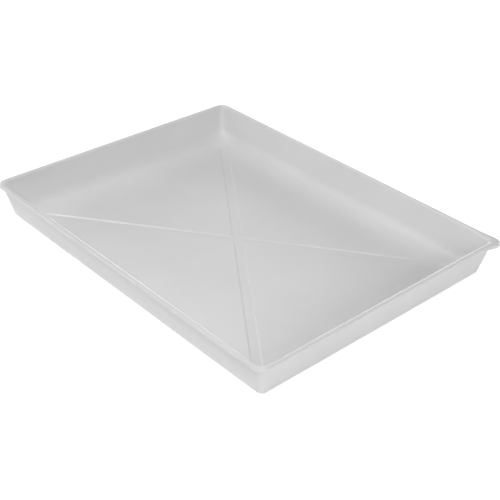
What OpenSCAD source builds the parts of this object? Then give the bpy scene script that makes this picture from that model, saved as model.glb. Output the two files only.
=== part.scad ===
// Developing tray: a shallow one-piece moulding with leaning walls, a narrow
// rounded rim with a turned-down lip, and two shallow channels that cross in
// the floor. One corner of the rim is drawn out and dips a little, for pouring.
// The floor keeps its thickness at the channels, so they stand proud below it
// and the tray rests on them.
// Origin: where the channels cross, on the table. +X runs along the tray's
// length, +Z up. The pouring corner is at +X, +Y.

/* [Size] */
// Length over the rim, without the pouring corner
tray_l = 470; // [300:1:700]
// Width over the rim, without the pouring corner
tray_w = 352; // [240:1:560]
// Height from the table to the top of the rim
tray_h = 43; // [32:0.5:80]
// Thickness of the floor and the walls
wall = 2.5; // [2:0.1:3.5]
// Lean of the walls from upright, in degrees
lean = 12.5; // [4:0.5:20]

/* [Corners] */
// Radius of the upright corners of the floor and the walls, at the table
floor_corner_r = 6; // [4:0.5:16]
// Radius of the upright corners of the lip
rim_corner_r = 12.5; // [12:0.5:20]
// Radius of the cove between the floor and the walls, inside
cove_r = 12; // [6:0.5:16]
// Radius of the bottom edge, outside
heel_r = 2; // [1:0.5:4]

/* [Rim] */
// Thickness of the rim and the lip
rim_t = 2; // [1.5:0.1:2.5]
// Width of the hollow between the wall and the lip, at its top
hollow_w = 1.5; // [1:0.1:4]
// Drop of the lip, from the top of the rim to its lower edge
lip_drop = 4.7; // [4:0.1:10]
// Radius of the rim's outer edge
edge_r = 2; // [1:0.5:2.5]
// Radius of the rim's inner edge, where the basin begins
crest_r = 3.5; // [1:0.5:3.5]

/* [Pouring corner] */
// How far the corner of the lip is drawn out
pour_out = 7; // [0:0.5:8]
// How far it dips
pour_dip = 2; // [0:0.1:2]
// How far along each side of the corner this reaches
pour_reach = 28; // [24:1:60]

/* [Floor channels] */
// Width of each channel at the level of the floor
channel_w = 13; // [7:0.5:16]
// Depth of each channel below the floor
channel_depth = 1.2; // [0.6:0.1:1.8]
// Sideways run of each of a channel's two sloping sides
channel_side = 2.6; // [1:0.1:3.2]
// Space between the end of a channel and the corner of the flat floor
channel_gap = 25; // [14:1:60]

/* [Hidden] */

overlap = 1;       // how far a joined or cut shape runs on past its surface
corner_steps = 8;  // steps round each upright corner
pour_steps = 6;    // steps beside the pouring corner, along each side
foot_steps = 8;    // steps in the heel and in the cove
edge_steps = 4;    // steps in each of the rim's two edges
end_fn = 32;       // segments in the round ends of the channels

base_z = channel_depth;     // underside of the floor
floor_z = base_z + wall;    // upper face of the floor
under_z = tray_h - rim_t;   // underside of the rim
lip_z = tray_h - lip_drop;  // lower edge of the lip

// How far in from the face of the lip the two faces of the walls are, at height z.
function outer_inset(z) = rim_t + hollow_w + (under_z - z) * tan(lean);
function inner_inset(z) = outer_inset(z) + wall / cos(lean);

// Where the heel and the cove meet the level faces of the floor.
heel_inset = outer_inset(base_z + heel_r) + heel_r / cos(lean);
cove_inset = inner_inset(floor_z + cove_r) + cove_r / cos(lean);

// The channels point at the corners of the basin.
basin_l = tray_l - 2 * inner_inset(floor_z);
basin_w = tray_w - 2 * inner_inset(floor_z);
channel_angle = atan2(basin_w, basin_l);
channel_reach = norm([tray_l - 2 * cove_inset, tray_w - 2 * cove_inset]) / 2 - channel_gap;

// A level is one line of the moulding's section, carried round the tray:
// [inset from the face of the lip, height, radius of its corners, share of the
// pouring corner's shape that it takes].
// All the corners of the rim share one centre. The lip takes all of the pouring
// corner's shape, and the inner edge of the rim takes less and less of it.
function rim_level(inset, z) = [inset, z, rim_corner_r - inset, pour_share(inset)];
function pour_share(inset) = min(1, (inner_inset(under_z) - inset) / (inner_inset(under_z) - rim_t));

// Down a face of the wall the radius of the corners runs evenly from top_r at
// the rim to floor_corner_r at the table.
function wall_level(inset, z, top_r) = [inset, z, floor_corner_r + (top_r - floor_corner_r) * z / tray_h, 0];
inner_corner_r = rim_corner_r - inner_inset(tray_h - crest_r);
outer_corner_r = inner_corner_r + wall / 2;

// The round between a level face at height z, which ends at the given inset,
// and the wall that rises from it.
function foot(inset, z, r, top_r) = [
    for (i = [0:foot_steps])
        let (a = 90 - (90 - lean) * i / foot_steps)
            wall_level(inset - r * cos(a), z + r - r * sin(a), top_r)
];

// The round between the face of the lip and the top of the rim.
function outer_edge() = [
    for (i = [0:edge_steps])
        let (a = 90 * i / edge_steps)
            rim_level(edge_r - edge_r * cos(a), tray_h - edge_r + edge_r * sin(a))
];

// The round between the top of the rim and the basin.
function inner_edge() = [
    for (i = [0:edge_steps])
        let (
            a = 90 - (90 - lean) * i / edge_steps,
            centre = inner_inset(tray_h - crest_r) - crest_r / cos(lean)
        )
            rim_level(centre + crest_r * cos(a), tray_h - crest_r + crest_r * sin(a))
];

function reversed(list) = [for (i = [len(list) - 1:-1:0]) list[i]];

// The section, from the underside of the floor, up the outside, over the rim
// and down to the upper face of the floor.
section = concat(
    foot(heel_inset, base_z, heel_r, outer_corner_r),
    [wall_level(outer_inset(under_z), under_z, outer_corner_r)],
    [rim_level(rim_t, under_z)],
    [rim_level(rim_t, lip_z)],
    [rim_level(0, lip_z)],
    outer_edge(),
    inner_edge(),
    reversed(foot(cove_inset, floor_z, cove_r, inner_corner_r))
);

// From 0 to 1, starting and ending level.
function smooth(t) =
    let (u = max(0, min(1, t)))
        u * u * (3 - 2 * u);

// A point of a level, moved to shape the pouring corner.
function poured(point, level) =
    let (
        beside = max(tray_l / 2 - point[0], tray_w / 2 - point[1]) - level[0],
        share = smooth(1 - beside / pour_reach) * level[3],
        out = pour_out * share / sqrt(2)
    )
        point + [out, out, -pour_dip * share];

// The points of one level, anticlockwise: a rectangle with round corners, which
// starts with the pouring corner and has a few more points along its two sides.
function outline(level) =
    let (
        x = tray_l / 2 - level[0],
        y = tray_w / 2 - level[0],
        z = level[1],
        r = level[2],
        run = [for (i = [1:pour_steps]) r + (pour_reach - r) * i / pour_steps],
        arc = [for (i = [0:corner_steps]) r * (1 - cos(90 * i / corner_steps))],
        points = concat(
            [for (d = reversed(run)) [x, y - d, z]],
            [for (i = [0:corner_steps]) [x - arc[i], y - arc[corner_steps - i], z]],
            [for (d = run) [x - d, y, z]],
            [for (i = [0:corner_steps]) [arc[corner_steps - i] - x, y - arc[i], z]],
            [for (i = [0:corner_steps]) [arc[i] - x, arc[corner_steps - i] - y, z]],
            [for (i = [0:corner_steps]) [x - arc[corner_steps - i], arc[i] - y, z]]
        )
    )
        [for (point = points) poured(point, level)];

// The section carried round the tray, closed by the two faces of the floor.
module shell() {
    rings = [for (level = section) outline(level)];
    n = len(rings[0]);
    last = n * (len(rings) - 1);
    polyhedron(
        [for (ring = rings) each ring],
        concat(
            [[for (i = [0:n - 1]) i]],
            [for (k = [0:n:last - n], i = [0:n - 1]) [k + i, k + n + i, k + n + (i + 1) % n]],
            [for (k = [0:n:last - n], i = [0:n - 1]) [k + i, k + n + (i + 1) % n, k + (i + 1) % n]],
            [[for (i = [n - 1:-1:0]) last + i]]
        )
    );
}

// Two crossed bars with sloping sides and round ends, low_w wide at height z.
module crossed_bars(z, h, low_w) {
    high_w = low_w + 2 * channel_side * h / channel_depth;
    for (angle = [-channel_angle, channel_angle])
        rotate(angle)
            hull()
                for (x = [-channel_reach, channel_reach])
                    translate([x, 0, z])
                        cylinder(h, d1 = low_w, d2 = high_w, $fn = end_fn);
}

module tray() {
    color([0.93, 0.93, 0.92])
        difference() {
            union() {
                shell();
                crossed_bars(0, base_z + overlap, channel_w);
            }
            crossed_bars(floor_z - channel_depth, channel_depth + overlap, channel_w - 2 * channel_side);
        }
}

tray();
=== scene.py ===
"""A white developing tray, moulded in one piece, on a pale studio floor."""
import math

import bmesh
import bpy
from mathutils import Matrix, Vector, noise
from mathutils.geometry import delaunay_2d_cdt


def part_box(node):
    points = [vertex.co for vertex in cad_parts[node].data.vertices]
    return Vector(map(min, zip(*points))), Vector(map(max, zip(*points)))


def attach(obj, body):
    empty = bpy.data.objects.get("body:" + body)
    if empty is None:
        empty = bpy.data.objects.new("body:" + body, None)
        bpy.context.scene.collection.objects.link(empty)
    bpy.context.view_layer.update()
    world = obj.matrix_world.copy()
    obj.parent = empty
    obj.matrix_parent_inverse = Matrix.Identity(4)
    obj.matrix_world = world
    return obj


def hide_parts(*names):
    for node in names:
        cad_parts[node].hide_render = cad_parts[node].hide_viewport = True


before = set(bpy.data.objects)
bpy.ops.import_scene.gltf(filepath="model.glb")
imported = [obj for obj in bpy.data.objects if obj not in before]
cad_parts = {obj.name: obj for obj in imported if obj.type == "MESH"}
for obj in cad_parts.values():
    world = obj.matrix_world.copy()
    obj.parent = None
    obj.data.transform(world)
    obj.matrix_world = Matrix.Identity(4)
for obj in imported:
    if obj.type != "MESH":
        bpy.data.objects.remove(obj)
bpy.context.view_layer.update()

MM = 0.001

# ---------------------------------------------------------------- dimensions
# The overall size comes from the frame, and the rest are the moulding's own sizes.
LOW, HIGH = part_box("tray")
TRAY_L = -2 * LOW.x             # over the rim, without the pouring corner at +X, +Y
TRAY_W = -2 * LOW.y
TRAY_H = HIGH.z
WALL = 2.5 * MM                 # thickness of the floor and the walls
LEAN = math.radians(12.5)       # lean of the walls from upright
RIM_T = 2.0 * MM                # thickness of the rim and the lip
HOLLOW_W = 1.5 * MM             # between the wall and the lip, under the rim
HOLLOW_R = 0.6 * MM             # rounding in the top of that hollow
LIP_DROP = 4.7 * MM             # from the top of the rim to the lip's lower edge
LIP_R = 0.7 * MM                # lower edges of the lip
EDGE_R = 2.0 * MM               # outer edge of the rim
CREST_R = 3.5 * MM              # inner edge of the rim
HEEL_R = 2.0 * MM               # bottom edge, outside
COVE_R = 12.0 * MM              # between the floor and the walls, inside
FLOOR_CORNER_R = 6.0 * MM       # upright corners at the table
RIM_CORNER_R = 12.5 * MM        # upright corners of the lip

POUR_OUT = 7.0 * MM             # how far the lip is drawn out at the pouring corner
POUR_DIP = 2.0 * MM             # how far it dips there
POUR_REACH = 28.0 * MM          # how far along each side of the corner this reaches

CHANNEL_W = 13.0 * MM           # width of a channel at the floor
CHANNEL_DEPTH = 1.2 * MM
CHANNEL_SIDE = 2.6 * MM         # sideways run of each sloping side
CHANNEL_GAP = 25.0 * MM         # from a channel's end to the corner of the flat floor

BASE_Z = CHANNEL_DEPTH          # the tray rests on the undersides of its channels
FLOOR_Z = BASE_Z + WALL
UNDER_Z = TRAY_H - RIM_T        # underside of the rim
LIP_Z = TRAY_H - LIP_DROP


def outer_inset(z):
    """How far in from the face of the lip the outside of a wall is at height z."""
    return RIM_T + HOLLOW_W + (UNDER_Z - z) * math.tan(LEAN)


def inner_inset(z):
    """The same for the inside of a wall."""
    return outer_inset(z) + WALL / math.cos(LEAN)


HEEL_INSET = outer_inset(BASE_Z + HEEL_R) + HEEL_R / math.cos(LEAN)
COVE_INSET = inner_inset(FLOOR_Z + COVE_R) + COVE_R / math.cos(LEAN)
INNER_CORNER_R = RIM_CORNER_R - inner_inset(TRAY_H - CREST_R)
OUTER_CORNER_R = INNER_CORNER_R + WALL / 2


# ------------------------------------------------------------------- section
# A level is one line of the section carried round the tray: (inset, z, corner
# radius, share of the pouring corner's shape that it takes).
def rim_level(inset, z):
    pour = (inner_inset(UNDER_Z) - inset) / (inner_inset(UNDER_Z) - RIM_T)
    return inset, z, RIM_CORNER_R - inset, min(1.0, pour)


def inside_level(inset, z):
    return inset, z, FLOOR_CORNER_R + (INNER_CORNER_R - FLOOR_CORNER_R) * z / TRAY_H, 0.0


def outside_level(inset, z):
    return inset, z, FLOOR_CORNER_R + (OUTER_CORNER_R - FLOOR_CORNER_R) * z / TRAY_H, 0.0


def arc(level, inset, z, radius, start, end, steps):
    """Levels round a centre. Angle 0 points out of the tray, and 90 degrees up."""
    levels = []
    for i in range(steps + 1):
        a = math.radians(start + (end - start) * i / steps)
        levels.append(level(inset - radius * math.cos(a), z + radius * math.sin(a)))
    return levels


def between(a, b, steps):
    """The levels that divide a straight stretch, without its ends."""
    return [tuple(p + (q - p) * i / steps for p, q in zip(a, b)) for i in range(1, steps)]


def section():
    """The whole section, from the underside of the floor round to its upper face."""
    lean = math.degrees(LEAN)
    f = HOLLOW_R
    heel = arc(outside_level, HEEL_INSET, BASE_Z + HEEL_R, HEEL_R, -90, -lean, steps=8)
    hollow_centre = outer_inset(UNDER_Z - f) - f / math.cos(LEAN)
    hollow_in = arc(outside_level, hollow_centre, UNDER_Z - f, f, 180 - lean, 90, steps=4)
    hollow_out = arc(rim_level, RIM_T + f, UNDER_Z - f, f, 90, 0, steps=4)
    lip = arc(rim_level, RIM_T - LIP_R, LIP_Z + LIP_R, LIP_R, 180, 270, steps=4)
    lip += arc(rim_level, LIP_R, LIP_Z + LIP_R, LIP_R, 270, 360, steps=4)
    edge = arc(rim_level, EDGE_R, TRAY_H - EDGE_R, EDGE_R, 0, 90, steps=8)
    crest_z = TRAY_H - CREST_R
    crest_centre = inner_inset(crest_z) - CREST_R / math.cos(LEAN)
    crest = arc(rim_level, crest_centre, crest_z, CREST_R, 90, 180 - lean, steps=12)
    cove = arc(inside_level, COVE_INSET, FLOOR_Z + COVE_R, COVE_R, -lean, -90, steps=18)
    return (
        heel
        + between(heel[-1], hollow_in[0], steps=12)
        + hollow_in
        + hollow_out
        + lip
        + edge
        + crest
        + between(crest[-1], cove[0], steps=10)
        + cove
    )


def smooth(t):
    t = min(max(t, 0.0), 1.0)
    return t * t * (3 - 2 * t)


def poured(point, inset, pour):
    """A point of a level, moved to shape the pouring corner."""
    beside = max(TRAY_L / 2 - point.x, TRAY_W / 2 - point.y) - inset
    share = smooth(1 - beside / POUR_REACH) * pour
    out = POUR_OUT * share / math.sqrt(2)
    return point + Vector((out, out, -POUR_DIP * share))


CORNER_STEPS = 14               # round each upright corner
BESIDE_STEPS = 10               # on each side of a corner, as far as POUR_REACH
END_STEPS = 24                  # along the rest of the two short sides
SIDE_STEPS = 34                 # along the rest of the two long sides


def outline(level):
    """The points of one level, anticlockwise: a rectangle with round corners."""
    inset, z, r, pour = level
    half_l, half_w = TRAY_L / 2 - inset, TRAY_W / 2 - inset
    points = []
    for corner in range(4):
        # along and across are the half sizes on the side before and after the corner
        along, across = (half_w, half_l) if corner % 2 == 0 else (half_l, half_w)
        ring = []
        for i in range(BESIDE_STEPS):
            ring.append((across, along - POUR_REACH + (POUR_REACH - r) * i / BESIDE_STEPS))
        for i in range(CORNER_STEPS + 1):
            a = math.radians(90 * i / CORNER_STEPS)
            ring.append((across - r + r * math.cos(a), along - r + r * math.sin(a)))
        for i in range(1, BESIDE_STEPS + 1):
            ring.append((across - r - (POUR_REACH - r) * i / BESIDE_STEPS, along))
        steps = SIDE_STEPS if corner % 2 == 0 else END_STEPS
        plain = 2 * (across - POUR_REACH)
        for i in range(1, steps):
            ring.append((across - POUR_REACH - plain * i / steps, along))
        turn = Matrix.Rotation(math.radians(90 * corner), 2)
        for u, v in ring:
            x, y = turn @ Vector((u, v))
            points.append(poured(Vector((x, y, z)), inset, pour))
    return points


# ------------------------------------------------------------------ channels
BASIN_L = TRAY_L - 2 * inner_inset(FLOOR_Z)
BASIN_W = TRAY_W - 2 * inner_inset(FLOOR_Z)
CHANNEL_ANGLE = math.atan2(BASIN_W, BASIN_L)
CHANNEL_REACH = math.hypot(TRAY_L - 2 * COVE_INSET, TRAY_W - 2 * COVE_INSET) / 2 - CHANNEL_GAP
# from the middle of the floor to one end of each channel
CHANNELS = [
    Vector((math.cos(a), math.sin(a))) * CHANNEL_REACH for a in (CHANNEL_ANGLE, -CHANNEL_ANGLE)
]


def channel_share(point, half_w):
    """1 on the bed of a channel and 0 on the floor, with a soft slope between."""
    clear = 1.0
    for end in CHANNELS:
        along = max(-1.0, min(1.0, point.dot(end) / end.length_squared))
        away = (point - end * along).length
        clear *= smooth((away - half_w + CHANNEL_SIDE) / CHANNEL_SIDE)
    return 1 - clear


def racetrack(end, radius, steps=10):
    """A loop at one distance from the line between -end and end."""
    turn = math.atan2(end.y, end.x)
    points = []
    for i in range(2 * steps + 2):
        side = 1 if i <= steps else -1
        a = turn - math.pi / 2 + math.pi * (i if side > 0 else i - 1) / steps
        points.append(end * side + Vector((math.cos(a), math.sin(a))) * radius)
    return points


SLOPE_STEPS = 8                 # across each sloping side of a channel
GRID = 12 * MM                  # mesh size of the level parts of the floor
GRID_CLEAR = 3 * MM             # kept free of the grid beside a channel


def floor_face(mesh, level, half_w, up):
    """One face of the floor, inside a level, with channels that reach half_w to each side."""
    edge = [p.to_2d() for p in outline(level)]
    inset, z = level[:2]
    points = list(edge)
    lines = [(i, (i + 1) % len(edge)) for i in range(len(edge))]
    for end in CHANNELS:
        # from just inside the foot of the slope to just outside its top
        for i in range(-1, SLOPE_STEPS + 2):
            loop = racetrack(end, half_w - CHANNEL_SIDE + CHANNEL_SIDE * i / SLOPE_STEPS)
            first = len(points)
            points += loop
            lines += [(first + k, first + (k + 1) % len(loop)) for k in range(len(loop))]
    # a grid of points over the level parts, clear of the edge and of the channels
    limit_x = TRAY_L / 2 - inset - GRID / 2
    limit_y = TRAY_W / 2 - inset - GRID / 2
    columns = math.ceil(TRAY_L / 2 / GRID)
    rows = math.ceil(TRAY_W / 2 / GRID)
    for i in range(-columns, columns + 1):
        for j in range(-rows, rows + 1):
            p = Vector((i * GRID, j * GRID))
            inside = abs(p.x) < limit_x and abs(p.y) < limit_y
            if inside and channel_share(p, half_w + GRID_CLEAR) == 0:
                points.append(p)
    boundary = [list(range(len(edge)))]
    inside_only = 1
    nearness = 1e-7
    flat, _, faces, *_ = delaunay_2d_cdt(points, lines, boundary, inside_only, nearness)
    verts = []
    for p in flat:
        verts.append(mesh.verts.new((p.x, p.y, z - CHANNEL_DEPTH * channel_share(p, half_w))))
    for face in faces:
        corners = [verts[i] for i in face]
        mesh.faces.new(corners if up else corners[::-1])


def waves(point):
    """A slow unevenness of the moulding, from cooling: a broad wave and a smaller one."""
    broad = 0.15 * MM * noise.noise(point * 9)
    smaller = 0.05 * MM * noise.noise(point * 22)
    return broad + smaller


def tray_shell():
    """The section carried round the tray, closed by the two faces of the floor."""
    mesh = bmesh.new()
    levels = section()
    rings = [[mesh.verts.new(p) for p in outline(level)] for level in levels]
    for low, high in zip(rings, rings[1:]):
        for i in range(len(low)):
            k = (i + 1) % len(low)
            mesh.faces.new((low[i], low[k], high[k], high[i]))
    floor_face(mesh, levels[0], CHANNEL_W / 2 + CHANNEL_SIDE, False)
    floor_face(mesh, levels[-1], CHANNEL_W / 2, True)
    bmesh.ops.remove_doubles(mesh, verts=mesh.verts, dist=0.01 * MM)
    mesh.normal_update()
    # the underside of the floor and the top of the rim stay as they are
    lowest, highest = 1.5 * BASE_Z, TRAY_H - CREST_R
    for vert, normal in [(v, v.normal.copy()) for v in mesh.verts]:
        if lowest < vert.co.z < highest:
            vert.co += normal * waves(vert.co)
    bmesh.ops.recalc_face_normals(mesh, faces=mesh.faces)
    for face in mesh.faces:
        face.smooth = True
    data = bpy.data.meshes.new("tray_shell")
    mesh.to_mesh(data)
    mesh.free()
    piece = bpy.data.objects.new("tray_shell", data)
    bpy.context.scene.collection.objects.link(piece)
    weighted = piece.modifiers.new("weighted normals", "WEIGHTED_NORMAL")
    weighted.weight = 50
    return piece


# ----------------------------------------------------------------- materials
PAPER_GLOW = 0.5                # of the paper and the backdrop, as the camera sees them


class Nodes:
    """A short way to write a node tree."""

    def __init__(self, owner):
        self.tree = owner.node_tree
        self.tree.nodes.clear()

    def add(self, kind, settings=None, **inputs):
        node = self.tree.nodes.new(kind)
        for name, value in (settings or {}).items():
            setattr(node, name, value)
        for name, value in inputs.items():
            socket = node.inputs[name.replace("_", " ")]
            if isinstance(value, bpy.types.NodeSocket):
                self.tree.links.new(value, socket)
            else:
                socket.default_value = value
        return node

    def noise(self, scale, detail=2.0, roughness=0.5):
        position = self.add("ShaderNodeNewGeometry").outputs["Position"]
        return self.add(
            "ShaderNodeTexNoise", Vector=position, Scale=scale, Detail=detail, Roughness=roughness
        ).outputs["Fac"]

    def total(self, a, b):
        node = self.add("ShaderNodeMath", {"operation": "ADD"})
        self.tree.links.new(a, node.inputs[0])
        self.tree.links.new(b, node.inputs[1])
        return node.outputs["Value"]

    def remap(self, value, low, high, start=0.3, end=0.7):
        node = self.add("ShaderNodeMapRange", Value=value)
        node.inputs["From Min"].default_value = start
        node.inputs["From Max"].default_value = end
        node.inputs["To Min"].default_value = low
        node.inputs["To Max"].default_value = high
        return node.outputs["Result"]


def tray_plastic():
    """White satin plastic with a fine grain, rubbed a little smoother along the rim."""
    material = bpy.data.materials.new("tray_plastic")
    material.use_nodes = True
    nodes = Nodes(material)
    tone = nodes.remap(nodes.noise(14, 3), 0, 1)
    colour = nodes.add("ShaderNodeMix", {"data_type": "RGBA"}, Factor=tone)
    # inputs 6 and 7 are the two colours of the mix, and output 2 is its result
    colour.inputs[6].default_value = (0.775, 0.775, 0.775, 1)
    colour.inputs[7].default_value = (0.800, 0.800, 0.800, 1)
    gloss = nodes.remap(nodes.noise(60, 4), 0.30, 0.38)
    position = nodes.add("ShaderNodeNewGeometry").outputs["Position"]
    height = nodes.add("ShaderNodeSeparateXYZ", Vector=position).outputs["Z"]
    rubbed = nodes.remap(height, 0, -0.12, LIP_Z, TRAY_H)
    grain = nodes.noise(2600, 2)
    fine = nodes.add("ShaderNodeBump", Strength=0.25, Distance=0.02 * MM, Height=grain)
    body = nodes.add(
        "ShaderNodeBsdfPrincipled",
        Base_Color=colour.outputs[2],
        Roughness=nodes.total(gloss, rubbed),
        IOR=1.5,
        Normal=fine.outputs["Normal"],
    )
    nodes.add("ShaderNodeOutputMaterial", Surface=body.outputs["BSDF"])
    return material


def studio_paper():
    """White paper with a faint glow, stronger where the camera sees it."""
    material = bpy.data.materials.new("studio_paper")
    material.use_nodes = True
    nodes = Nodes(material)
    seen = nodes.add("ShaderNodeLightPath").outputs["Is Camera Ray"]
    body = nodes.add(
        "ShaderNodeBsdfPrincipled",
        Base_Color=(0.9, 0.9, 0.9, 1),
        Roughness=0.8,
        Emission_Color=(1, 1, 1, 1),
        Emission_Strength=nodes.remap(seen, 0.16, PAPER_GLOW, 0, 1),
    )
    nodes.add("ShaderNodeOutputMaterial", Surface=body.outputs["BSDF"])
    return material


# ---------------------------------------------------------- studio and camera
def studio_floor():
    """A wide sheet of paper on the table."""
    data = bpy.data.meshes.new("studio_floor")
    half = 6.0
    corners = [(-half, -half, 0), (half, -half, 0), (half, half, 0), (-half, half, 0)]
    data.from_pydata(corners, [], [(0, 1, 2, 3)])
    data.materials.append(studio_paper())
    piece = bpy.data.objects.new("studio_floor", data)
    bpy.context.scene.collection.objects.link(piece)


def direction(azimuth, elevation):
    """A unit vector, from angles in radians. Azimuth 0 is along +X."""
    level = math.cos(elevation)
    return Vector((level * math.cos(azimuth), level * math.sin(azimuth), math.sin(elevation)))


def softbox(name, azimuth, elevation, power, size=0.9, distance=2.5):
    """A square area light aimed at the tray, with its angles in degrees and its power in watts."""
    lamp = bpy.data.lights.new(name, "AREA")
    lamp.size = size
    lamp.energy = power
    box = bpy.data.objects.new(name, lamp)
    towards = direction(math.radians(azimuth), math.radians(elevation))
    box.location = towards * distance
    box.rotation_euler = towards.to_track_quat("Z", "Y").to_euler()
    bpy.context.scene.collection.objects.link(box)


def studio_backdrop():
    """A pale backdrop that the camera sees and that lights nothing."""
    world = bpy.data.worlds.new("studio")
    bpy.context.scene.world = world
    world.use_nodes = True
    nodes = Nodes(world)
    seen = nodes.add("ShaderNodeLightPath").outputs["Is Camera Ray"]
    glow = nodes.add(
        "ShaderNodeBackground", Color=(1, 1, 1, 1), Strength=nodes.remap(seen, 0, PAPER_GLOW, 0, 1)
    )
    nodes.add("ShaderNodeOutputWorld", Surface=glow.outputs["Background"])


def studio_lights():
    """A high key light, others all round, and three low ones behind the tray."""
    softbox("key", 240, 60, 19)
    softbox("near", 280, 50, 7.5)
    softbox("side", -15, 25, 18)
    softbox("front", -30, 42, 8)
    softbox("back", 145, 50, 6)
    softbox("right", 75, 25, 8.5)
    softbox("left", 195, 25, 6)
    softbox("low front", 240, 8, 5)
    for azimuth in (90, 135, 180):
        softbox("low back", azimuth, 8, 11)


def camera():
    """Looks down on the tray over the corner at +X, -Y, and stands a little to one side."""
    azimuth, elevation, roll = (math.radians(a) for a in (-42.94, 32.66, 1.355))
    distance = 1.2138
    aside, up_by = 0.0347, -0.0165
    away = direction(azimuth, elevation)
    right = (-away).cross(Vector((0, 0, 1))).normalized()
    up = right.cross(-away)
    turned_right = right * math.cos(roll) + up * math.sin(roll)
    turned_up = up * math.cos(roll) - right * math.sin(roll)
    lens = bpy.data.cameras.new("camera")
    lens.sensor_width = 36
    lens.lens = 75.27
    lens.shift_x = -0.0357
    lens.shift_y = 0.0125
    eye = bpy.data.objects.new("camera", lens)
    place = away * distance + turned_right * aside + turned_up * up_by
    turn = Matrix((turned_right, turned_up, away)).transposed()
    eye.matrix_world = Matrix.Translation(place) @ turn.to_4x4()
    bpy.context.scene.collection.objects.link(eye)
    bpy.context.scene.camera = eye


tray = tray_shell()
tray.data.materials.append(tray_plastic())
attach(tray, "root")
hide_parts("tray")
studio_floor()
studio_backdrop()
studio_lights()
camera()
bpy.context.scene.view_settings.view_transform = "Standard"
